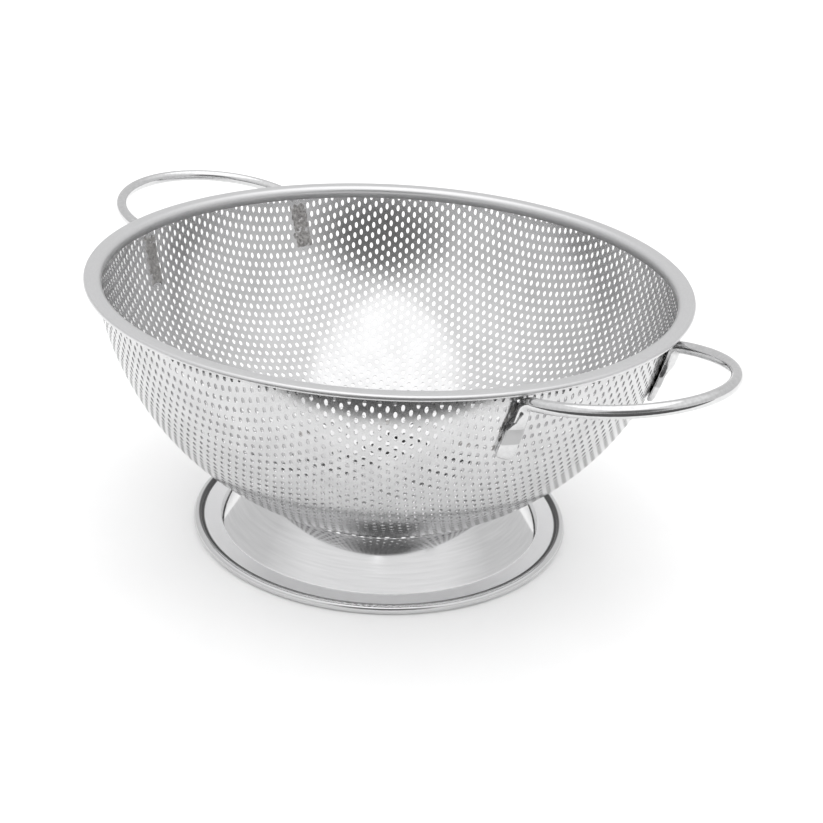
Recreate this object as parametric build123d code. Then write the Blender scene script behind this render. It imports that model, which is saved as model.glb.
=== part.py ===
from build123d import *
import os
from math import acos, atan2, cos, degrees, radians, sin, sqrt, tan

# A footed strainer bowl: a spherical bowl, a rim band folded over its edge, two bent wire
# handles welded to the wall just under the rim, and a spun foot ring with a rolled bead.
# Millimetres. The origin is the centre of the foot's underside, +Z is up, and the
# handles point along +X and -X.

# Driving dimensions
RIM_RADIUS = 130.0  # outside of the rim's rolled edge
RIM_HEIGHT = 119.0  # middle of the rim's rolled edge above the table
SHEET = 0.5  # thickness of the bowl, the rim band and the foot
BOWL_RADIUS = 126.4  # outside of the spherical bowl
BOWL_CENTRE = RIM_HEIGHT + 15.3  # height of the centre of the bowl's sphere
BOWL_TOP = RIM_HEIGHT  # the bowl's edge, hidden inside the rim band
SEAM = 0.05  # clearance between two sheets that lie on each other

# Rim band
ROLL_RADIUS = 1.1  # outside radius of the rolled outer edge
ROLL_BEND_SHARE = 0.9  # how much of each of the roll's four corners is bent round
SKIRT_TOP_RADIUS = 121.6  # where the skirt would meet the flange if the shoulder were sharp
SHOULDER_RADIUS = 2.3  # bend between the skirt and the flange, on the sheet's middle
SKIRT_LOW = RIM_HEIGHT - 4.9  # lower edge of the skirt, which lies on the bowl's inner wall
UNDERSIDE_SLOPE = 0.1  # the underside sinks this much per millimetre towards the wall

# Foot
FOOT_RADIUS = 85.2  # outside of the rolled bead
BEAD_RADIUS = 2.0  # outside radius of the rolled bead
BEAD_BLEND = 0.5  # bend between the brim and the bead, on the sheet's middle
BEAD_CURL = 240.0  # how far the bead turns past level, degrees
LAND_DEPTH = 0.05  # the bead is pressed flat by this much where it stands
BRIM_HEIGHT = 2.72  # top of the flat brim
BRIM_INNER_RADIUS = 72.8  # where the cone meets the brim
NECK_RADIUS = 58.3  # where the cone meets the bowl
FLANGE_INNER_RADIUS = 50.8  # inner edge of the flange that is welded to the bowl
FOOT_BEND = 0.8  # bend radius at the neck and at the brim, on the sheet's middle

# Handles
WIRE_RADIUS = 2.6
HANDLE_REACH = 172.8  # outermost point of a handle from the bowl's axis
HANDLE_HALF_WIDTH = 44.6  # from the handle's middle to the middle of each leg
WIRE_DROP = 4.3  # wire's middle below the rim's middle, at the wall
ELBOW_RADIUS = 4.5  # bend from the loop into a leg, on the wire's middle
HANDLES = {"handle_right": (0.0, 10.0), "handle_left": (180.0, 5.0)}  # direction, upward tilt

# Flattened legs of the handles
LEG_WIDTH = 7.5
LEG_THICKNESS = 3.0
LEG_LOW = RIM_HEIGHT - 30.5  # lower end of a leg
LEG_CORNER = 2.2  # rounded corners of a leg's lower end
TAPER_LENGTH = 7.0  # along the wall, from the round wire to the flat leg

# Spot welds
WELD_RADIUS = 3.6
WELD_PROUD = 0.25  # how far a weld stands out of the wall
LEG_WELD_DEPTHS = (13.0, 24.0)  # below the rim's middle
FOOT_WELD_COUNT = 8


def bowl_sphere(radius):
    """A ball about the centre of the bowl's sphere."""
    return Pos(0, 0, BOWL_CENTRE) * Sphere(radius)


def spun_sheet(middle_line):
    """A sheet of revolution about Z, from the line of its middle drawn as radius and height.

    Its two edges are rounded, and stand half a sheet's thickness past the line's ends.
    """
    outline = offset(middle_line, SHEET / 2, side=Side.BOTH)
    return revolve(Plane.XZ * make_face(outline), Axis.Z)


def wall_radius(height, ball_radius):
    """Distance from the Z axis to a ball about the bowl's centre, at a height."""
    return sqrt(ball_radius**2 - (height - BOWL_CENTRE) ** 2)


def make_bowl():
    shell = bowl_sphere(BOWL_RADIUS) - bowl_sphere(BOWL_RADIUS - SHEET)
    return split(shell, Plane.XY.offset(BOWL_TOP), keep=Keep.BOTTOM)


def make_rim_band():
    """A skirt that leans in from the bowl's wall, a level flange over its edge and a roll outside.

    The roll is half an octagon whose four corners are bent almost as far as they reach.
    """
    skirt_ball = BOWL_RADIUS - SHEET - SEAM - SHEET / 2
    roll = ROLL_RADIUS - SHEET / 2
    corner = roll * tan(radians(45 / 2))
    outer = RIM_RADIUS - SHEET / 2
    underside = RIM_HEIGHT - roll
    wall = wall_radius(underside, BOWL_RADIUS + SEAM) + SHEET / 2
    skirt_end = SKIRT_LOW + SHEET / 2
    corners = [
        (wall_radius(skirt_end, skirt_ball), skirt_end),
        (SKIRT_TOP_RADIUS, RIM_HEIGHT + roll),
        (outer - roll + corner, RIM_HEIGHT + roll),
        (outer, RIM_HEIGHT + corner),
        (outer, RIM_HEIGHT - corner),
        (outer - roll + corner, underside),
        (wall, underside - UNDERSIDE_SLOPE * (outer - wall)),
    ]
    radii = [SHOULDER_RADIUS] + 4 * [ROLL_BEND_SHARE * roll]
    return spun_sheet(FilletPolyline(*corners, radius=radii))


def make_foot():
    """Flange on the bowl, cone, flat brim and a bead that curls under to stand on the table."""
    bead = BEAD_RADIUS - SHEET / 2
    bead_r = FOOT_RADIUS - BEAD_RADIUS
    bead_z = BEAD_RADIUS - LAND_DEPTH
    brim_z = BRIM_HEIGHT - SHEET / 2
    rise = acos((brim_z + BEAD_BLEND - bead_z) / (BEAD_BLEND + bead))
    brim_end = (bead_r - (BEAD_BLEND + bead) * sin(rise), brim_z)
    under_bowl = BOWL_RADIUS + 2 * SEAM + SHEET / 2
    corners = [
        (r, BOWL_CENTRE - sqrt(under_bowl**2 - r**2)) for r in (FLANGE_INNER_RADIUS, NECK_RADIUS)
    ]
    corners += [(BRIM_INNER_RADIUS, brim_z), brim_end]
    profile = FilletPolyline(*corners, radius=FOOT_BEND)
    blend = JernArc(brim_end, (1, 0), BEAD_BLEND, degrees(rise))
    curl = JernArc(blend @ 1, blend % 1, bead, -(degrees(rise) + BEAD_CURL))
    ring = spun_sheet(profile + blend + curl)
    return split(ring, Plane.XY, keep=Keep.TOP)


def leg_spot(angle, ball_radius, side):
    """Where a leg's middle crosses a ball about the bowl's centre, at an angle above level.

    Returns the spot, the direction down the leg and the direction out of the wall. side is
    +1 or -1.
    """
    ring = sqrt(ball_radius**2 - HANDLE_HALF_WIDTH**2)
    spot = Vector(ring * cos(angle), side * HANDLE_HALF_WIDTH, BOWL_CENTRE + ring * sin(angle))
    down = Vector(sin(angle), 0, -cos(angle))
    outward = (spot - Vector(0, 0, BOWL_CENTRE)).normalized()
    return spot, down, outward


def cross_section(angle, ball_radius, side):
    """The plane across a leg, with X across the leg's width."""
    spot, down, outward = leg_spot(angle, ball_radius, side)
    return Plane(origin=spot, x_dir=down.cross(outward), z_dir=down)


def face_plane(angle, ball_radius, side):
    """The plane that lies on a leg's face, with X down the leg and Z out of the wall."""
    spot, down, outward = leg_spot(angle, ball_radius, side)
    return Plane(origin=spot, x_dir=down, z_dir=outward)


def leg_angle(height, ball_radius):
    """Angle above level, about the bowl's centre, at which a leg on a ball has a height."""
    ring = sqrt(ball_radius**2 - HANDLE_HALF_WIDTH**2)
    drop = height - BOWL_CENTRE
    return atan2(drop, sqrt(ring**2 - drop**2))


def elbow_layout(tilt):
    """Reach and height of an elbow's bend centre, and the angle at which it meets the leg.

    The elbow touches the ball on which the round wire would lie against the wall.
    """
    ring = sqrt((BOWL_RADIUS + SEAM + WIRE_RADIUS) ** 2 - HANDLE_HALF_WIDTH**2)
    height = RIM_HEIGHT - WIRE_DROP - ELBOW_RADIUS * cos(tilt)
    drop = height - BOWL_CENTRE
    reach = sqrt((ring + ELBOW_RADIUS) ** 2 - drop**2)
    return reach, height, atan2(drop, reach)


def make_loop(tilt):
    """The round wire: half an ellipse, with an elbow at each end that turns down the wall."""
    reach, height, meeting_angle = elbow_layout(tilt)
    start = Vector(reach - ELBOW_RADIUS * sin(tilt), 0, height + ELBOW_RADIUS * cos(tilt))
    out = Vector(cos(tilt), 0, sin(tilt))
    length = (HANDLE_REACH - WIRE_RADIUS - start.X) / cos(tilt)
    half_ellipse = EllipticalCenterArc((0, 0), length, HANDLE_HALF_WIDTH, -90, arc_size=180)
    loop = Plane(start, x_dir=out, z_dir=out.cross(Vector(0, 1, 0))) * half_ellipse
    bend = CenterArc((0, 0), ELBOW_RADIUS, 90 + degrees(tilt), 90 + degrees(meeting_angle - tilt))
    elbows = [
        Plane((reach, side * HANDLE_HALF_WIDTH, height), x_dir=(1, 0, 0), z_dir=(0, -1, 0)) * bend
        for side in (-1, 1)
    ]
    path = Wire([elbows[0], loop, elbows[1]])
    section = Plane(origin=path @ 0, z_dir=path % 0) * Circle(WIRE_RADIUS)
    return sweep(section, path=path)


def make_leg(side, top_angle):
    """The wire's end, drawn out from round to flat, and the flat pad that lies on the wall."""
    inner = BOWL_RADIUS + SEAM
    middle = inner + LEG_THICKNESS / 2
    flat_angle = top_angle - TAPER_LENGTH / inner
    low_angle = leg_angle(LEG_LOW, middle)
    round_end = cross_section(top_angle, inner + WIRE_RADIUS, side) * Circle(WIRE_RADIUS)
    flat_end = cross_section(flat_angle, middle, side) * Ellipse(LEG_WIDTH / 2, LEG_THICKNESS / 2)
    taper = loft([round_end, flat_end])
    pad_length = (flat_angle - low_angle) * middle + LEG_CORNER
    pad_angle = (flat_angle + low_angle + LEG_CORNER / middle) / 2
    outline = RectangleRounded(pad_length, LEG_WIDTH, LEG_CORNER)
    block = extrude(face_plane(pad_angle, middle, side) * outline, LEG_THICKNESS, both=True)
    pad = block & (bowl_sphere(inner + LEG_THICKNESS) - bowl_sphere(inner))
    return taper + pad


def make_handle(direction, tilt):
    """A handle that points along +X, turned to its direction about the bowl's axis."""
    top_angle = elbow_layout(radians(tilt))[2]
    handle = make_loop(radians(tilt)) + make_leg(1, top_angle) + make_leg(-1, top_angle)
    return Rot(0, 0, direction) * handle


def weld_on(plane, ball_radius):
    """A round weld on a ball's inside, centred on a plane whose Z points out of the ball."""
    plug = extrude(plane * Circle(WELD_RADIUS), 2 * WELD_RADIUS, both=True)
    return plug & (bowl_sphere(ball_radius) - bowl_sphere(ball_radius - WELD_PROUD))


def make_leg_welds(direction):
    """The welds of one handle, as they stand out inside the bowl behind its two legs."""
    inside = BOWL_RADIUS - SHEET
    welds = [
        weld_on(face_plane(leg_angle(RIM_HEIGHT - depth, inside), inside, side), inside)
        for side in (-1, 1)
        for depth in LEG_WELD_DEPTHS
    ]
    return Rot(0, 0, direction) * Compound(welds)


def make_foot_welds():
    """A ring of welds inside the bowl, over the middle of the foot's flange."""
    inside = BOWL_RADIUS - SHEET
    reach = (FLANGE_INNER_RADIUS + NECK_RADIUS) / 2
    below = -sqrt(inside**2 - reach**2)
    spot_plane = Plane((reach, 0, BOWL_CENTRE + below), z_dir=(reach, 0, below))
    weld = weld_on(spot_plane, inside)
    return Compound([Rot(0, 0, 360 * turn / FOOT_WELD_COUNT) * weld for turn in range(FOOT_WELD_COUNT)])


def make_parts():
    parts = {
        "bowl": make_bowl(),
        "rim_band": make_rim_band(),
        "foot": make_foot(),
        "foot_welds": make_foot_welds(),
    }
    for name, (direction, tilt) in HANDLES.items():
        parts[name] = make_handle(direction, tilt)
        parts[name + "_welds"] = make_leg_welds(direction)
    return parts


os.makedirs("parts", exist_ok=True)
for node, solid in make_parts().items():
    export_step(solid, f"parts/{node}.step")
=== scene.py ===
import math

import bmesh
import bpy
from mathutils import Matrix, Vector, noise


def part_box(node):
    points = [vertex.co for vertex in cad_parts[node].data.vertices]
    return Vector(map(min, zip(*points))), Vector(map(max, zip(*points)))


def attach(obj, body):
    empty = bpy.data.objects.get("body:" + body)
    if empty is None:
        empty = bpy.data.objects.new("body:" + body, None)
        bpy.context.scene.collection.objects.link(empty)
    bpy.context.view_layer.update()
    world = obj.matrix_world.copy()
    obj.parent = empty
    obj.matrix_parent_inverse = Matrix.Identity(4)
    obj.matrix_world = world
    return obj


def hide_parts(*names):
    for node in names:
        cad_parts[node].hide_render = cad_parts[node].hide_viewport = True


# A footed strainer bowl of perforated steel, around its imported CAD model. Metres, +Z up.
# The origin is the middle of the foot's underside, and the handles point along +X and -X.

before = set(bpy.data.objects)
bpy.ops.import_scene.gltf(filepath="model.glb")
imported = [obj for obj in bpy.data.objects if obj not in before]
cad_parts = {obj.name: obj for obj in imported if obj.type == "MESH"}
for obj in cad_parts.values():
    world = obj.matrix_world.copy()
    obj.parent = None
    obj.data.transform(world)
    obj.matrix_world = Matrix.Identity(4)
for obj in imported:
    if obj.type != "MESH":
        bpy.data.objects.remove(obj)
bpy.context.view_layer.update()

MM = 0.001

# Places, from the CAD model
BOWL_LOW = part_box("bowl")[0].z
BOWL_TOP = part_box("bowl")[1].z
RIM_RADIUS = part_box("rim_band")[1].x
RIM_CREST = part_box("rim_band")[1].z
SKIRT_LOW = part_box("rim_band")[0].z
FOOT_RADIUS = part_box("foot")[1].x
HANDLE_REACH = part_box("handle_right")[1].x

# Sheet and ball
SHEET = 0.5 * MM
SEAM = 0.05 * MM  # gap between pieces that lie on each other
BALL_RADIUS = 126.4 * MM
BALL_CENTRE = Vector((0, 0, BOWL_LOW + BALL_RADIUS))
SHEET_MIDDLE = BALL_RADIUS - SHEET / 2
INNER_BALL = BALL_RADIUS - SHEET

# Perforation, as punched in the flat blank that the bowl is drawn from
HOLE_PITCH = 4.2 * MM
HOLE_RADIUS = 1.1 * MM
HOLE_SIDES = 12
ROW_TURN = math.radians(132.6)
LATTICE_ANGLE = math.radians(60)  # between the lattice's two steps
# At the rim, holes are narrower and longer by these shares than drawing alone makes them
NARROWING = 0.14
LENGTHENING = 0.10

# Rim band
ROLL_RADIUS = 1.1 * MM
ROLL_BEND_SHARE = 0.98  # of the roll's radius, so that its two bends don't quite meet
RIM_MIDDLE = RIM_CREST - ROLL_RADIUS
SKIRT_TOP_RADIUS = 121.6 * MM  # where the skirt would meet the flange if the shoulder were sharp
SHOULDER_RADIUS = 2.3 * MM
UNDERSIDE_SLOPE = 0.1

# Foot
BEAD_RADIUS = 2.0 * MM
BEAD_BLEND = 0.5 * MM  # bend between the brim and the bead
BEAD_CURL = math.radians(240)  # how far the bead turns past level
LAND_DEPTH = 0.05 * MM  # how much of the bead is pressed flat on the table
BRIM_HEIGHT = 2.72 * MM
BRIM_INNER_RADIUS = 72.8 * MM
NECK_RADIUS = 58.3 * MM
FLANGE_RADIUS = 50.8 * MM
FOOT_BEND = 0.8 * MM

# Handles
WIRE_RADIUS = 2.6 * MM
HALF_WIDTH = 44.6 * MM
WIRE_DROP = 4.3 * MM
ELBOW_RADIUS = 4.5 * MM
LEG_DROP = 30.5 * MM
LEG_LOW = RIM_MIDDLE - LEG_DROP
PRESS_SHADE_ENDS = (7.0 * MM, 14.4 * MM)  # the band painted darker across a leg's pressed part, a painted reflection: its two ends, as heights over the leg's lower end
HANDLES = {"handle_right": (0, 10), "handle_left": (180, 5)}  # direction and tilt, degrees

# Welds of the legs: a strip's two ends and its spots, as depths below the rim's middle
LEG_WELD_TOP = 6.0 * MM
LEG_WELD_LOW = 29.0 * MM
LEG_WELD_DEPTHS = (13.0 * MM, 24.0 * MM)
LEG_WELD_RADIUS = 4.2 * MM
LEG_WELD_HALF_WIDTH = 4.4 * MM

# Welds of the foot
FOOT_WELD_COUNT = 8
FOOT_WELD_RADIUS = 3.0 * MM
FOOT_WELD_HALF_SIZE = 3.6 * MM

# Weld metal
WELD_CELL = 0.25 * MM
WELD_FILM = 0.03 * MM  # its mean height over the wall's inner face
WELD_SWELL = 0.1 * MM  # how much higher it is on a spot
WELD_ROUGHNESS = 0.2 * MM
WELD_GRAIN = 1.4 * MM
WELD_FRACTAL = (0.8, 2.0, 4)  # its noise's dimension, lacunarity and octaves
WELD_EDGE = 0.8 * MM  # width in which it sinks into the sheet
WELD_SINK = 0.35 * MM
WELD_BACK = 0.02 * MM  # how far its back stays inside the wall's outer face

# Camera
CAMERA_SIDE = math.radians(-44)  # direction from the bowl to the camera
CAMERA_DISTANCE = 625.3 * MM  # level, from the Z axis
CAMERA_RISE = 226.6 * MM  # above the rim's middle
CAMERA_DROP = math.radians(25.0)
CAMERA_PAN = math.radians(1.10)
CAMERA_ROLL = math.radians(3.29)

# Studio. Flags are dark cloths, placed as if the camera were on the +X side.
FLOOR_HALF_SIZE = 6.0
FLOOR_GAP = 0.2 * MM
PAPER_END = 0.215  # where the white floor ends before the bowl, as reflections show it
FLOOR_FLAG_END = 3.0
FLOOR_FLAG_HALF_WIDTH = 2.0
FLOOR_FLAG_HEIGHT = 0.5 * MM
CAMERA_FLAG_AWAY = 1.0
CAMERA_FLAG_SIDES = (-0.75, 1.0)
CAMERA_FLAG_TOP = 0.92
CLOTH_FADE = (0.25, 0.6)  # from full to nothing, in shares of the cloth's size from its middle
SOFTBOX_LENGTH = 1.8
SOFTBOX_WIDTH = 1.0
SOFTBOX_OFFSET = 0.15
SOFTBOX_HEIGHT = 1.1
SOFTBOX_POWER = 2.3
ROOM_LEAN = math.radians(10)  # of the ceiling's middle towards the camera
WORLD_LIGHT = 1.3  # of the white studio, as all but reflections see it

# The part of a noise texture's range that most of its values lie in
NOISE_LOW = 0.3
NOISE_HIGH = 0.7

# How finely round things are divided
TURNS = 360
BEND_STEPS = 8
BEAD_STEPS = 40
LOOP_STEPS = 96
LEG_STEPS = 4
SECTION_STEPS = 32
CREASE = math.radians(35)


def plane_vector(x, y):
    return Vector((x, y))


def turned(vector, angle):
    """A plane vector turned anticlockwise."""
    return Matrix.Rotation(angle, 2) @ vector


def arc(centre, spoke, turn, steps=BEND_STEPS):
    """Points round a centre, from the end of a spoke through a turn."""
    return [centre + turned(spoke, turn * step / steps) for step in range(steps + 1)]


def rounded_path(corners, radii):
    """A plane path through corners, with every inner corner bent round at its radius."""
    corners = [plane_vector(*corner) for corner in corners]
    path = [corners[0]]
    for before, corner, after, radius in zip(corners, corners[1:], corners[2:], radii):
        back = (before - corner).normalized()
        on = (after - corner).normalized()
        half = back.angle(on) / 2
        centre = corner + (back + on).normalized() * radius / math.sin(half)
        spoke = corner + back * radius / math.tan(half) - centre
        end = corner + on * radius / math.tan(half) - centre
        turn = math.atan2(spoke.x * end.y - spoke.y * end.x, spoke.dot(end))
        path += arc(centre, spoke, turn)
    return path + [corners[-1]]


def sheet_outline(path, thickness):
    """The closed outline of a bent sheet, from its middle line. Its two edges are rounded."""
    sides = []
    for before, point, after in zip(path[:1] + path, path, path[1:] + path[-1:]):
        along = (after - before).normalized()
        sides.append(plane_vector(-along.y, along.x) * thickness / 2)
    left = [point + side for point, side in zip(path, sides)]
    right = [point - side for point, side in zip(path, sides)]
    far_cap = arc(path[-1], sides[-1], -math.pi)[1:-1]
    near_cap = arc(path[0], -sides[0], -math.pi)[1:-1]
    return left + far_cap + right[::-1] + near_cap


def smooth_object(name, mesh):
    """A smooth-shaded object whose sharp edges stay sharp."""
    mesh.shade_smooth()
    mesh.set_sharp_from_angle(angle=CREASE)
    made = bpy.data.objects.new(name, mesh)
    bpy.context.scene.collection.objects.link(made)
    return made


def new_piece(name, points, faces):
    """A smooth-shaded piece whose faces all look outwards."""
    mesh = bpy.data.meshes.new(name)
    mesh.from_pydata(points, [], faces)
    made = bmesh.new()
    made.from_mesh(mesh)
    bmesh.ops.recalc_face_normals(made, faces=made.faces)
    made.to_mesh(mesh)
    made.free()
    return smooth_object(name, mesh)


def spun(name, outline):
    """A closed outline of radius and height, spun about the Z axis."""
    points = []
    for turn in range(TURNS):
        angle = math.tau * turn / TURNS
        points += [(p.x * math.cos(angle), p.x * math.sin(angle), p.y) for p in outline]
    count = len(outline)
    faces = []
    for turn in range(TURNS):
        here = turn * count
        there = (turn + 1) % TURNS * count
        for k in range(count):
            beside = (k + 1) % count
            faces.append((here + k, there + k, there + beside, here + beside))
    return new_piece(name, points, faces)


def wall_radius(height, ball_radius):
    """Distance from the Z axis to a ball about the bowl's centre, at a height."""
    return math.sqrt(ball_radius**2 - (height - BALL_CENTRE.z) ** 2)


# The perforated bowl


def drawn(flat, ball_radius):
    """Where a point of the flat blank comes to lie when the blank is drawn to a ball.

    The blank keeps its area, so holes grow long and narrow towards the rim.
    """
    reach = flat.length
    fall = 2 * math.asin(reach / (2 * SHEET_MIDDLE))
    spread = math.sin(fall) / reach if reach else 0
    x, y = flat * spread * ball_radius
    return (x, y, BALL_CENTRE.z - math.cos(fall) * ball_radius)


def blank_radius(height):
    """Radius in the flat blank of what is drawn to a height on the sheet's middle."""
    fall = math.acos((BALL_CENTRE.z - height) / SHEET_MIDDLE)
    return 2 * SHEET_MIDDLE * math.sin(fall / 2)


def strained(spoke, middle, strain):
    """A hole's spoke in the blank, lengthened away from the blank's middle and narrowed across."""
    lengthwise = spoke.project(middle) if strain else spoke * 0
    crosswise = spoke - lengthwise
    return spoke + strain * (LENGTHENING * lengthwise - NARROWING * crosswise)


# A cell's border in sixths of the lattice's two steps: its six corners and their midpoints
SIXTHS = 6
CELL_BORDER = (
    (2, 2), (0, 3), (-2, 4), (-3, 3), (-4, 2), (-3, 0),
    (-2, -2), (0, -3), (2, -4), (3, -3), (4, -2), (3, 0),
)  # fmt: skip


def cell_faces(border, ring):
    """A cell's outer and inner face, each round the hole, and the hole's wall between them."""
    faces = []
    for k in range(HOLE_SIDES):
        n = (k + 1) % HOLE_SIDES
        faces.append((border[n], border[k], ring[k], ring[n]))
        faces.append((border[k] + 1, border[n] + 1, ring[n] + 1, ring[k] + 1))
        faces.append((ring[k] + 1, ring[n] + 1, ring[n], ring[k]))
    return faces


def perforated_sheet():
    """Points and faces of a hexagonal cell round each hole, on both faces of the drawn sheet."""
    step_a = turned(plane_vector(HOLE_PITCH, 0), ROW_TURN)
    step_b = turned(step_a, LATTICE_ANGLE)
    limit = blank_radius(BOWL_TOP) + HOLE_PITCH / 2
    reach = math.ceil(limit / (HOLE_PITCH * math.sin(LATTICE_ANGLE)))
    first_spoke = (step_a + step_b).normalized() * HOLE_RADIUS
    spokes = arc(plane_vector(0, 0), first_spoke, math.tau, HOLE_SIDES)[:-1]
    points, faces, shared = [], [], {}

    def add(flat):
        """The point on the outer face and, just after it, the one on the inner face."""
        points.append(drawn(flat, BALL_RADIUS))
        points.append(drawn(flat, INNER_BALL))
        return len(points) - 2

    for i in range(-reach, reach + 1):
        for j in range(-reach, reach + 1):
            middle = step_a * i + step_b * j
            if middle.length > limit:
                continue
            border = []
            for u, v in CELL_BORDER:
                key = (SIXTHS * i + u, SIXTHS * j + v)
                if key not in shared:
                    shared[key] = add((step_a * key[0] + step_b * key[1]) / SIXTHS)
                border.append(shared[key])
            strain = (middle.length / limit) ** 2
            ring = [add(middle + strained(spoke, middle, strain)) for spoke in spokes]
            faces += cell_faces(border, ring)
    return points, faces


def trim_at(mesh, height):
    """Cuts a mesh off level and closes the cut."""
    made = bmesh.new()
    made.from_mesh(mesh)
    bmesh.ops.bisect_plane(
        made,
        geom=made.verts[:] + made.edges[:] + made.faces[:],
        dist=1e-7,
        plane_co=(0, 0, height),
        plane_no=(0, 0, 1),
        clear_outer=True,
    )
    bmesh.ops.holes_fill(made, edges=[edge for edge in made.edges if edge.is_boundary])
    made.to_mesh(mesh)
    made.free()


def perforated_bowl():
    """The perforated sheet, trimmed level at its top."""
    points, faces = perforated_sheet()
    mesh = bpy.data.meshes.new("bowl_sheet")
    mesh.from_pydata(points, [], faces)
    trim_at(mesh, BOWL_TOP)
    return smooth_object("bowl_sheet", mesh)


# The rim band and the foot


def rim_band():
    """A skirt inside the bowl, a shoulder, a level flange, a rolled edge and an underside."""
    skirt_ball = INNER_BALL - SEAM - SHEET / 2
    roll = ROLL_RADIUS - SHEET / 2
    outer = RIM_RADIUS - SHEET / 2
    underside = RIM_MIDDLE - roll
    wall = wall_radius(underside, BALL_RADIUS + SEAM) + SHEET / 2
    skirt_end = SKIRT_LOW + SHEET / 2
    corners = [
        (wall_radius(skirt_end, skirt_ball), skirt_end),
        (SKIRT_TOP_RADIUS, RIM_MIDDLE + roll),
        (outer, RIM_MIDDLE + roll),
        (outer, underside),
        (wall, underside - UNDERSIDE_SLOPE * (outer - wall)),
    ]
    path = rounded_path(corners, (SHOULDER_RADIUS, ROLL_BEND_SHARE * roll, ROLL_BEND_SHARE * roll))
    return spun("rim", sheet_outline(path, SHEET))


def foot_ring():
    """A flange on the bowl, a cone, a flat brim and a bead that curls under to the table."""
    bead = BEAD_RADIUS - SHEET / 2
    bead_middle = plane_vector(FOOT_RADIUS - BEAD_RADIUS, BEAD_RADIUS - LAND_DEPTH)
    brim = BRIM_HEIGHT - SHEET / 2
    rise = math.acos((brim + BEAD_BLEND - bead_middle.y) / (BEAD_BLEND + bead))
    brim_end = plane_vector(bead_middle.x - (BEAD_BLEND + bead) * math.sin(rise), brim)
    under_bowl = BALL_RADIUS + 2 * SEAM + SHEET / 2
    corners = [
        (radius, BALL_CENTRE.z - math.sqrt(under_bowl**2 - radius**2))
        for radius in (FLANGE_RADIUS, NECK_RADIUS)
    ]
    corners += [(BRIM_INNER_RADIUS, brim), brim_end]
    path = rounded_path(corners, (FOOT_BEND, FOOT_BEND))
    path += arc(brim_end + plane_vector(0, BEAD_BLEND), plane_vector(0, -BEAD_BLEND), rise)[1:]
    path += arc(bead_middle, path[-1] - bead_middle, -rise - BEAD_CURL, steps=BEAD_STEPS)[1:]
    outline = sheet_outline(path, SHEET)
    return spun("foot_ring", [plane_vector(p.x, max(p.y, 0)) for p in outline])


# The handles

# A section's shape is its half width, half thickness and squareness.
# Squareness 2 is an ellipse, and more is closer to a rectangle.
ROUND_WIRE = (WIRE_RADIUS, WIRE_RADIUS, 2.0)

# Up a flattened leg from its lower end: distance and shape, with its lengths in millimetres
FLAT_HALF_WIDTH = 3.75
FLAT_HALF_THICKNESS = 1.5
LEG_SHAPE = (
    (0.0, 2.3, 0.8, 3.0),
    (0.4, 2.8, 1.15, 3.2),
    (1.2, 3.4, 1.4, 3.6),
    (2.4, FLAT_HALF_WIDTH, FLAT_HALF_THICKNESS, 3.8),
    (15.0, FLAT_HALF_WIDTH, FLAT_HALF_THICKNESS, 3.8),
    (17.5, 3.2, 1.9, 3.0),
    (20.0, 2.75, 2.4, 2.2),
)


def finer(rows):
    """The rows with others worked out evenly between each two."""
    made = []
    for row, after in zip(rows, rows[1:]):
        for step in range(LEG_STEPS):
            share = step / LEG_STEPS
            made.append([a + (b - a) * share for a, b in zip(row, after)])
    return made + [rows[-1]]


def leg_point(angle, ball_radius):
    """The middle of a leg on a ball about the bowl's centre, at an angle above level."""
    ring = math.sqrt(ball_radius**2 - HALF_WIDTH**2)
    return Vector((ring * math.cos(angle), HALF_WIDTH, BALL_CENTRE.z + ring * math.sin(angle)))


def leg_angle(height, ball_radius):
    """Angle above level at which a leg on a ball has a height."""
    return math.asin((height - BALL_CENTRE.z) / math.sqrt(ball_radius**2 - HALF_WIDTH**2))


def half_handle(tilt):
    """Stations from a leg's lower end through its elbow, each a middle and a section's shape."""
    wall = BALL_RADIUS + SEAM
    round_ball = wall + WIRE_RADIUS
    ring = math.sqrt(round_ball**2 - HALF_WIDTH**2)
    bend_height = RIM_MIDDLE - WIRE_DROP - ELBOW_RADIUS * math.cos(tilt)
    drop = bend_height - BALL_CENTRE.z
    bend_reach = math.sqrt((ring + ELBOW_RADIUS) ** 2 - drop**2)
    meeting = math.atan2(drop, bend_reach)
    low = leg_angle(LEG_LOW, wall + FLAT_HALF_THICKNESS * MM)
    stations = []
    for up, width, thickness, square in finer(LEG_SHAPE):
        angle = low + up * MM / wall
        middle = leg_point(angle, wall + thickness * MM)
        stations.append((middle, width * MM, thickness * MM, square))
    bend = Vector((bend_reach, HALF_WIDTH, bend_height))
    for step in range(BEND_STEPS + 1):
        angle = math.pi + meeting - (math.pi / 2 - tilt + meeting) * step / BEND_STEPS
        spoke = Vector((math.cos(angle), 0, math.sin(angle))) * ELBOW_RADIUS
        stations.append((bend + spoke, *ROUND_WIRE))
    return stations


def handle_stations(tilt):
    """Both legs and elbows with half an ellipse between them, in a plane that tilts upwards."""
    first = half_handle(tilt)
    start = first[-1][0]
    out = Vector((math.cos(tilt), 0, math.sin(tilt)))
    length = (HANDLE_REACH - WIRE_RADIUS - start.x) / math.cos(tilt)
    loop = []
    for step in range(1, LOOP_STEPS):
        angle = math.pi * step / LOOP_STEPS
        middle = Vector((start.x, 0, start.z)) + out * length * math.sin(angle)
        middle.y = HALF_WIDTH * math.cos(angle)
        loop.append((middle, *ROUND_WIRE))
    last = [(Vector((p.x, -p.y, p.z)), *shape) for p, *shape in reversed(first)]
    return first + loop + last


def section_point(angle, half_width, half_thickness, square):
    """A point of a section between an ellipse and a rectangle: across and outwards."""
    across, outwards = math.cos(angle), math.sin(angle)
    power = 2 / square
    return (
        half_width * math.copysign(abs(across) ** power, across),
        half_thickness * math.copysign(abs(outwards) ** power, outwards),
    )


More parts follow.
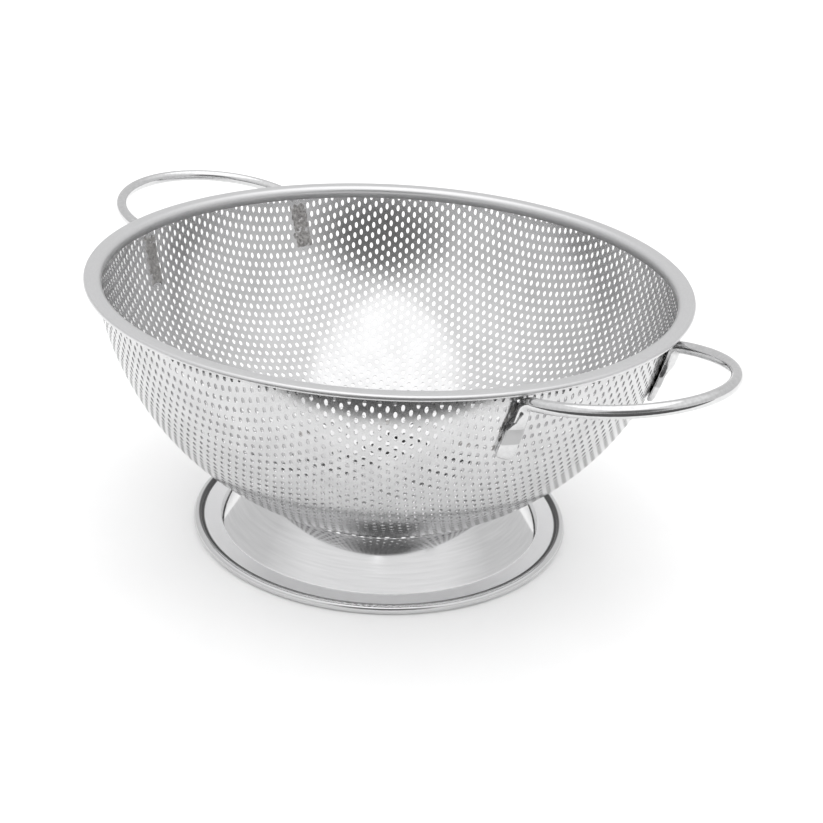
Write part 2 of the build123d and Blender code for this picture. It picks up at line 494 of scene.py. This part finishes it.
def swept(name, stations):
    """A closed bar through stations, whose outward side starts away from the bowl."""
    middles = [station[0] for station in stations]
    outward = (middles[0] - BALL_CENTRE).normalized()
    points = []
    heading = None
    for k, (middle, *shape) in enumerate(stations):
        along = middles[min(k + 1, len(middles) - 1)] - middles[max(k - 1, 0)]
        if heading is not None:
            outward = heading.rotation_difference(along) @ outward
        heading = along
        outward = (outward - outward.project(along)).normalized()
        across = along.normalized().cross(outward)
        for s in range(SECTION_STEPS):
            x, y = section_point(math.tau * (s + 0.5) / SECTION_STEPS, *shape)
            points.append(middle + across * x + outward * y)
    count = SECTION_STEPS
    faces = [tuple(range(count)), tuple(range(len(points) - count, len(points)))]
    for k in range(len(stations) - 1):
        for s in range(count):
            n = (s + 1) % count
            faces.append((k * count + s, k * count + n, (k + 1) * count + n, (k + 1) * count + s))
    return new_piece(name, points, faces)


def handle(name, direction, tilt):
    """A whole handle that points in a direction about the Z axis. Both angles are in degrees."""
    piece = swept(name, handle_stations(math.radians(tilt)))
    piece.data.transform(Matrix.Rotation(math.radians(direction), 4, "Z"))
    return piece


# Welds


def weld_patch(middle, along, half_length, half_width, spots, spot_radius):
    """Points and faces of rough metal that fills the holes of the wall round some spot welds.

    middle is a direction from the bowl's centre, along a tangent at it, and spots are
    distances along it.
    """
    across = middle.cross(along).normalized()
    rows = round(2 * half_length / WELD_CELL)
    columns = round(2 * half_width / WELD_CELL)
    tops, floors = [], []
    for i in range(rows + 1):
        u = -half_length + 2 * half_length * i / rows
        for j in range(columns + 1):
            v = -half_width + 2 * half_width * j / columns
            direction = (middle + (along * u + across * v) / BALL_RADIUS).normalized()
            place = BALL_CENTRE + direction * INNER_BALL
            nearest = min(math.hypot(u - spot, v) for spot in spots)
            swell = math.exp(-((nearest / spot_radius) ** 4))
            rough = noise.fractal(place / WELD_GRAIN, *WELD_FRACTAL)
            full = WELD_FILM + WELD_SWELL * swell + WELD_ROUGHNESS * rough
            share = min(half_length - abs(u), half_width - abs(v), WELD_EDGE) / WELD_EDGE
            rise = full * share - WELD_SINK * (1 - share)
            tops.append(place - direction * rise)
            floors.append(BALL_CENTRE + direction * (BALL_RADIUS - WELD_BACK))
    return tops, floors, rows + 1, columns + 1


def grid_faces(rows, columns, offset, flip):
    """Faces of a grid of points, the first of which has the number offset."""
    faces = []
    for i in range(rows - 1):
        for j in range(columns - 1):
            a = offset + i * columns + j
            face = (a, a + 1, a + columns + 1, a + columns)
            faces.append(face[::-1] if flip else face)
    return faces


def closed_patch(rows, columns, offset):
    """Faces of a thin block between two grids of points, and round its four sides."""
    under = offset + rows * columns
    faces = grid_faces(rows, columns, offset, False) + grid_faces(rows, columns, under, True)
    edge = list(range(columns))
    edge += [i * columns + columns - 1 for i in range(1, rows)]
    edge += [(rows - 1) * columns + j for j in range(columns - 2, -1, -1)]
    edge += [i * columns for i in range(rows - 2, 0, -1)]
    for a, b in zip(edge, edge[1:] + edge[:1]):
        faces.append((offset + a, under + a, under + b, offset + b))
    return faces


def weld_piece(name, patches):
    """One piece from the descriptions of its patches."""
    points, faces = [], []
    for patch in patches:
        tops, floors, rows, columns = weld_patch(*patch)
        faces += closed_patch(rows, columns, len(points))
        points += tops + floors
    return new_piece(name, points, faces)


def leg_welds(name, direction):
    """Rough strips inside the bowl where a handle's two legs are welded to it."""
    middle_depth = (LEG_WELD_TOP + LEG_WELD_LOW) / 2
    half_length = (LEG_WELD_LOW - LEG_WELD_TOP) / 2
    spots = [depth - middle_depth for depth in LEG_WELD_DEPTHS]
    strip = (half_length, LEG_WELD_HALF_WIDTH, spots, LEG_WELD_RADIUS)
    turn = Matrix.Rotation(math.radians(direction), 3, "Z")
    angle = leg_angle(RIM_MIDDLE - middle_depth, INNER_BALL)
    down = Vector((math.sin(angle), 0, -math.cos(angle)))
    patches = []
    for side in (-1, 1):
        middle = leg_point(angle, INNER_BALL)
        middle.y *= side
        out = (middle - BALL_CENTRE).normalized()
        patches.append((turn @ out, turn @ down, *strip))
    return weld_piece(name, patches)


def foot_weld_ring(name):
    """Spot welds in the bottom of the bowl, over the foot's flange."""
    reach = (FLANGE_RADIUS + NECK_RADIUS) / 2
    fall = math.asin(reach / INNER_BALL)
    middle = Vector((math.sin(fall), 0, -math.cos(fall)))
    along = Vector((math.cos(fall), 0, math.sin(fall)))
    spot = (FOOT_WELD_HALF_SIZE, FOOT_WELD_HALF_SIZE, (0.0,), FOOT_WELD_RADIUS)
    patches = []
    for turn in range(FOOT_WELD_COUNT):
        spin = Matrix.Rotation(math.tau * turn / FOOT_WELD_COUNT, 3, "Z")
        patches.append((spin @ middle, spin @ along, *spot))
    return weld_piece(name, patches)


# Materials


def grey(value):
    """A grey with a trace of blue."""
    return (value, value, value * 1.005)


def new_material(name, colour, metallic, roughness):
    """A material, its nodes and its shader. The values hold where no node is linked to them."""
    material = bpy.data.materials.new(name)
    material.use_nodes = True
    shader = material.node_tree.nodes["Principled BSDF"]
    shader.inputs["Base Color"].default_value = (*colour, 1)
    shader.inputs["Metallic"].default_value = metallic
    shader.inputs["Roughness"].default_value = roughness
    return material, material.node_tree, shader


def add_node(tree, kind, **inputs):
    """A node whose named inputs are set."""
    made = tree.nodes.new(kind)
    for name, value in inputs.items():
        made.inputs[name].default_value = value
    return made


def object_place(tree):
    """The point's own place in the model, in metres."""
    return add_node(tree, "ShaderNodeTexCoord").outputs["Object"]


def add_split(tree, place):
    """The X, Y and Z of a place."""
    made = add_node(tree, "ShaderNodeSeparateXYZ")
    tree.links.new(place, made.inputs[0])
    return made.outputs["X"], made.outputs["Y"], made.outputs["Z"]


def add_length(tree, vector):
    """The length of a vector."""
    made = add_node(tree, "ShaderNodeVectorMath")
    made.operation = "LENGTH"
    tree.links.new(vector, made.inputs[0])
    return made.outputs["Value"]


def round_place(tree, squeeze):
    """Radius, the way round squeezed, and height: what noise needs to run round the Z axis."""
    x, y, z = add_split(tree, object_place(tree))
    flat = add_node(tree, "ShaderNodeCombineXYZ")
    tree.links.new(x, flat.inputs["X"])
    tree.links.new(y, flat.inputs["Y"])
    angle = add_node(tree, "ShaderNodeMath")
    angle.operation = "ARCTAN2"
    tree.links.new(y, angle.inputs[0])
    tree.links.new(x, angle.inputs[1])
    way = add_node(tree, "ShaderNodeMath")
    way.operation = "MULTIPLY"
    way.inputs[1].default_value = squeeze
    tree.links.new(angle.outputs[0], way.inputs[0])
    joined = add_node(tree, "ShaderNodeCombineXYZ")
    tree.links.new(add_length(tree, flat.outputs[0]), joined.inputs["X"])
    tree.links.new(way.outputs[0], joined.inputs["Y"])
    tree.links.new(z, joined.inputs["Z"])
    return joined.outputs[0]


def add_noise(tree, place, scale, detail, roughness=0.5):
    """Fractal noise, which lies mostly between NOISE_LOW and NOISE_HIGH."""
    made = add_node(tree, "ShaderNodeTexNoise", Scale=scale, Detail=detail, Roughness=roughness)
    tree.links.new(place, made.inputs["Vector"])
    return made.outputs["Fac"]


def add_ramp(tree, value, low, high):
    """A colour ramp between two stops, each a position and a colour."""
    made = add_node(tree, "ShaderNodeValToRGB")
    for stop, (position, colour) in zip(made.color_ramp.elements, (low, high)):
        stop.position = position
        stop.color = (*colour, 1)
    tree.links.new(value, made.inputs["Fac"])
    return made.outputs["Color"]


def add_greys(tree, value, low, high):
    """Noise spread over a range of greys."""
    return add_ramp(tree, value, (NOISE_LOW, grey(low)), (NOISE_HIGH, grey(high)))


def add_range(tree, value, low, high):
    """Noise spread over a range of numbers."""
    made = add_node(tree, "ShaderNodeMapRange")
    made.inputs["From Min"].default_value = NOISE_LOW
    made.inputs["From Max"].default_value = NOISE_HIGH
    made.inputs["To Min"].default_value = low
    made.inputs["To Max"].default_value = high
    tree.links.new(value, made.inputs["Value"])
    return made.outputs["Result"]


def add_bump(tree, shader, height, distance):
    """Lets a height disturb the shader's normal, as if it were this far from low to high."""
    made = add_node(tree, "ShaderNodeBump", Strength=1.0, Distance=distance)
    tree.links.new(height, made.inputs["Height"])
    tree.links.new(made.outputs["Normal"], shader.inputs["Normal"])


def add_product(tree, value, other):
    """The product of two values."""
    made = add_node(tree, "ShaderNodeMath")
    made.operation = "MULTIPLY"
    tree.links.new(value, made.inputs[0])
    tree.links.new(other, made.inputs[1])
    return made.outputs[0]


def add_band(tree, value, low, high, blur):
    """One inside a range of values and nought outside it, with each end blurred."""
    rise = add_node(tree, "ShaderNodeMapRange")
    fall = add_node(tree, "ShaderNodeMapRange")
    for edge, at, start, end in ((rise, low, 0, 1), (fall, high, 1, 0)):
        edge.inputs["From Min"].default_value = at - blur / 2
        edge.inputs["From Max"].default_value = at + blur / 2
        edge.inputs["To Min"].default_value = start
        edge.inputs["To Max"].default_value = end
        tree.links.new(value, edge.inputs["Value"])
    return add_product(tree, rise.outputs["Result"], fall.outputs["Result"])


def add_tint(tree, colour, where, shade):
    """A colour that turns to a grey where a value is one."""
    mixed = add_node(tree, "ShaderNodeMixRGB", Color2=(*grey(shade), 1))
    tree.links.new(where, mixed.inputs["Fac"])
    tree.links.new(colour, mixed.inputs["Color1"])
    return mixed.outputs["Color"]


def perforated_steel():
    """Bright rolled sheet, faintly mottled, with a slightly uneven drawn surface."""
    material, tree, shader = new_material("perforated_steel", grey(0.62), 1.0, 0.2)
    place = object_place(tree)
    mottle = add_noise(tree, place, scale=90.0, detail=3.0)
    tree.links.new(add_greys(tree, mottle, 0.6, 0.67), shader.inputs["Base Color"])
    fine = add_noise(tree, place, scale=900.0, detail=2.0)
    tree.links.new(add_range(tree, fine, 0.15, 0.22), shader.inputs["Roughness"])
    add_bump(tree, shader, add_noise(tree, place, scale=260.0, detail=2.0), distance=0.01 * MM)
    return material


def rim_steel():
    """Satin sheet with fine marks round the rim."""
    material, tree, shader = new_material("rim_steel", grey(0.7), 1.0, 0.35)
    marks = add_noise(tree, round_place(tree, squeeze=0.02), scale=3500.0, detail=4.0)
    tree.links.new(add_greys(tree, marks, 0.68, 0.74), shader.inputs["Base Color"])
    tree.links.new(add_range(tree, marks, 0.33, 0.4), shader.inputs["Roughness"])
    add_bump(tree, shader, marks, distance=0.002 * MM)
    return material


def foot_steel():
    """Mirror polish with faint spinning rings, a satin brim brightened by a painted sheen, and painted
    shade in the groove by the bead.
    """
    material, tree, shader = new_material("foot_steel", grey(0.68), 1.0, 0.06)
    place = round_place(tree, squeeze=0.004)
    radius, _, height = add_split(tree, place)
    rings = add_noise(tree, place, scale=900.0, detail=3.0)
    brim_end = FOOT_RADIUS - 2 * BEAD_RADIUS
    brim = add_band(tree, radius, BRIM_INNER_RADIUS, brim_end, blur=0.6 * MM)
    # Painted shade: a near-black band in the groove between the brim and the bead stands in for the shade
    # that falls there.
    ring = add_band(tree, radius, brim_end - 0.8 * MM, brim_end + 1.6 * MM, blur=0.6 * MM)
    upper = add_band(tree, height, BRIM_HEIGHT - SHEET / 2, 2 * BRIM_HEIGHT, blur=0.2 * MM)
    painted_groove_shade = add_product(tree, ring, upper)
    # Painted sheen: the brim's satin roughness is real, but its near-white colour brightens it as painted
    # light.
    rings_with_painted_brim_sheen = add_tint(tree, add_greys(tree, rings, 0.66, 0.72), brim, shade=0.97)
    tree.links.new(add_tint(tree, rings_with_painted_brim_sheen, painted_groove_shade, shade=0.1), shader.inputs["Base Color"])
    rough = add_node(tree, "ShaderNodeMath")
    rough.operation = "MULTIPLY_ADD"
    rough.inputs[1].default_value = 0.45
    tree.links.new(brim, rough.inputs[0])
    tree.links.new(add_range(tree, rings, 0.05, 0.1), rough.inputs[2])
    tree.links.new(rough.outputs[0], shader.inputs["Roughness"])
    add_bump(tree, shader, rings, distance=0.0012 * MM)
    return material


def wire_steel():
    """Polished drawn wire with tiny die lines, and a band painted darker across each leg's pressed part, a
    painted reflection.
    """
    material, tree, shader = new_material("wire_steel", grey(0.68), 1.0, 0.08)
    place = object_place(tree)
    marks = add_noise(tree, place, scale=700.0, detail=3.0)
    height = add_split(tree, place)[2]
    # Painted reflection: the pressed part of each leg is painted darker, standing in for the darker
    # surroundings its facet reflects.
    painted_press_shade = add_band(tree, height, LEG_LOW + PRESS_SHADE_ENDS[0], LEG_LOW + PRESS_SHADE_ENDS[1], blur=0.5 * MM)
    bright = add_greys(tree, marks, 0.64, 0.72)
    tree.links.new(add_tint(tree, bright, painted_press_shade, shade=0.45), shader.inputs["Base Color"])
    tree.links.new(add_range(tree, marks, 0.06, 0.13), shader.inputs["Roughness"])
    add_bump(tree, shader, add_noise(tree, place, scale=1500.0, detail=2.0), distance=0.005 * MM)
    return material


def weld_steel():
    """Dull, heat-tinted, scarred metal."""
    material, tree, shader = new_material("weld_steel", grey(0.35), 1.0, 0.45)
    scars = add_noise(tree, object_place(tree), scale=650.0, detail=5.0, roughness=0.7)
    burnt = (0.36, (0.25, 0.24, 0.235))
    clean = (0.62, (0.55, 0.54, 0.53))
    tree.links.new(add_ramp(tree, scars, burnt, clean), shader.inputs["Base Color"])
    tree.links.new(add_range(tree, scars, 0.3, 0.6), shader.inputs["Roughness"])
    add_bump(tree, shader, scars, distance=0.2 * MM)
    return material


def floor_paper():
    """White paper with a faint mottle."""
    material, tree, shader = new_material("floor_paper", (0.9, 0.9, 0.9), 0.0, 0.9)
    mottle = add_noise(tree, object_place(tree), scale=6.0, detail=3.0)
    shades = add_ramp(tree, mottle, (NOISE_LOW, (0.88, 0.88, 0.88)), (NOISE_HIGH, (0.92, 0.92, 0.92)))
    tree.links.new(shades, shader.inputs["Base Color"])
    shader.inputs["Specular IOR Level"].default_value = 0.1
    return material


# Camera, floor and light


def add_camera():
    """Looks down 25 degrees at the bowl, from between the right handle and the near side."""
    data = bpy.data.cameras.new("camera")
    data.sensor_width = 36
    data.lens = 67.3
    camera = bpy.data.objects.new("camera", data)
    bpy.context.scene.collection.objects.link(camera)
    azimuth = CAMERA_SIDE + math.pi / 2
    place = Matrix.Translation((0, -CAMERA_DISTANCE, RIM_MIDDLE + CAMERA_RISE))
    pan = Matrix.Rotation(-CAMERA_PAN, 4, "Z")
    drop = Matrix.Rotation(math.pi / 2 - CAMERA_DROP, 4, "X")
    roll = Matrix.Rotation(CAMERA_ROLL, 4, "Z")
    camera.matrix_world = Matrix.Rotation(azimuth, 4, "Z") @ place @ pan @ drop @ roll
    bpy.context.scene.camera = camera


def add_quad(name, corners, material):
    """A part of the studio with one face."""
    mesh = bpy.data.meshes.new(name)
    mesh.from_pydata(corners, [], [(0, 1, 2, 3)])
    mesh.materials.append(material)
    quad = bpy.data.objects.new(name, mesh)
    bpy.context.scene.collection.objects.link(quad)
    return quad


def add_floor():
    """White paper just under the foot."""
    size = FLOOR_HALF_SIZE
    corners = [(x, y, -FLOOR_GAP) for x, y in ((-size, -size), (size, -size), (size, size), (-size, size))]
    add_quad("floor", corners, floor_paper())


def towards_camera(distance, height):
    """A place at a level distance from the Z axis to the camera's side, and at a height."""
    return (distance * math.cos(CAMERA_SIDE), distance * math.sin(CAMERA_SIDE), height)


def soft_cloth(name, shade):
    """Dark cloth that fades to nothing towards its edges."""
    material, tree, shader = new_material(name, grey(shade), 0.0, 0.9)
    centred = add_node(tree, "ShaderNodeVectorMath")
    centred.operation = "SUBTRACT"
    centred.inputs[1].default_value = (0.5, 0.5, 0.5)
    tree.links.new(add_node(tree, "ShaderNodeTexCoord").outputs["Generated"], centred.inputs[0])
    fade = add_node(tree, "ShaderNodeMapRange")
    fade.inputs["From Min"].default_value = CLOTH_FADE[0]
    fade.inputs["From Max"].default_value = CLOTH_FADE[1]
    tree.links.new(add_length(tree, centred.outputs[0]), fade.inputs["Value"])
    mixed = add_node(tree, "ShaderNodeMixShader")
    tree.links.new(fade.outputs["Result"], mixed.inputs["Fac"])
    tree.links.new(shader.outputs[0], mixed.inputs[1])
    tree.links.new(add_node(tree, "ShaderNodeBsdfTransparent").outputs[0], mixed.inputs[2])
    tree.links.new(mixed.outputs[0], tree.nodes["Material Output"].inputs["Surface"])
    return material


def add_flag(name, corners, cloth):
    """A dark cloth that is seen only in reflections."""
    flag = add_quad(name, corners, cloth)
    flag.data.transform(Matrix.Rotation(CAMERA_SIDE, 4, "Z"))
    flag.visible_camera = False
    flag.visible_diffuse = False
    flag.visible_shadow = False


def add_floor_flag():
    """The dark room past the paper's end."""
    near, far = PAPER_END, FLOOR_FLAG_END
    side, height = FLOOR_FLAG_HALF_WIDTH, FLOOR_FLAG_HEIGHT
    corners = [(near, -side, height), (far, -side, height), (far, side, height), (near, side, height)]
    material, _, _ = new_material("dark_cloth", grey(0.07), metallic=0.0, roughness=0.9)
    add_flag("floor_flag", corners, material)


def add_camera_flag():
    """The dark space behind the camera."""
    away, top = CAMERA_FLAG_AWAY, CAMERA_FLAG_TOP
    left, right = CAMERA_FLAG_SIDES
    corners = [(away, left, 0), (away, right, 0), (away, right, top), (away, left, top)]
    add_flag("camera_flag", corners, soft_cloth("soft_cloth", 0.12))


def add_softbox():
    """A long level softbox over the bowl, which reaches further to the camera's side."""
    data = bpy.data.lights.new("top_softbox", "AREA")
    data.shape = "ELLIPSE"
    data.size = SOFTBOX_LENGTH
    data.size_y = SOFTBOX_WIDTH
    data.energy = SOFTBOX_POWER
    lamp = bpy.data.objects.new("top_softbox", data)
    lamp.location = towards_camera(SOFTBOX_OFFSET, SOFTBOX_HEIGHT)
    lamp.rotation_euler.z = CAMERA_SIDE
    bpy.context.scene.collection.objects.link(lamp)


def add_world():
    """A white studio, which reflections see as light grey walls under a white ceiling."""
    world = bpy.data.worlds.new("studio")
    bpy.context.scene.world = world
    world.use_nodes = True
    tree = world.node_tree
    direction = add_node(tree, "ShaderNodeTexCoord").outputs["Generated"]
    height = add_node(tree, "ShaderNodeVectorMath")
    height.operation = "DOT_PRODUCT"
    height.inputs[1].default_value = towards_camera(math.sin(ROOM_LEAN), math.cos(ROOM_LEAN))
    tree.links.new(direction, height.inputs[0])
    walls = (0.45, grey(0.75))
    ceiling = (0.7, grey(1.0))
    room = add_ramp(tree, height.outputs["Value"], walls, ceiling)
    choice = add_node(tree, "ShaderNodeMixRGB", Color1=(WORLD_LIGHT, WORLD_LIGHT, WORLD_LIGHT, 1))
    tree.links.new(add_node(tree, "ShaderNodeLightPath").outputs["Is Glossy Ray"], choice.inputs["Fac"])
    tree.links.new(room, choice.inputs["Color2"])
    tree.links.new(choice.outputs["Color"], tree.nodes["Background"].inputs["Color"])


# Assembly


def finish_piece(piece, material, nodes):
    """Gives a piece its material, hangs it from the root body and hides the CAD parts that it replaces."""
    piece.data.materials.append(material)
    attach(piece, "root")
    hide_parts(*nodes)


bpy.context.scene.view_settings.view_transform = "Standard"
add_camera()
add_floor()
add_floor_flag()
add_camera_flag()
add_world()
add_softbox()

perforated = perforated_steel()
satin = rim_steel()
mirror = foot_steel()
polished = wire_steel()
scarred = weld_steel()
finish_piece(perforated_bowl(), perforated, ["bowl"])
finish_piece(rim_band(), satin, ["rim_band"])
finish_piece(foot_ring(), mirror, ["foot"])
finish_piece(foot_weld_ring("foot_weld_spots"), scarred, ["foot_welds"])
for node, (direction, tilt) in HANDLES.items():
    finish_piece(handle(node + "_wire", direction, tilt), polished, [node])
    welds = leg_welds(node + "_weld_strips", direction)
    finish_piece(welds, scarred, [node + "_welds"])
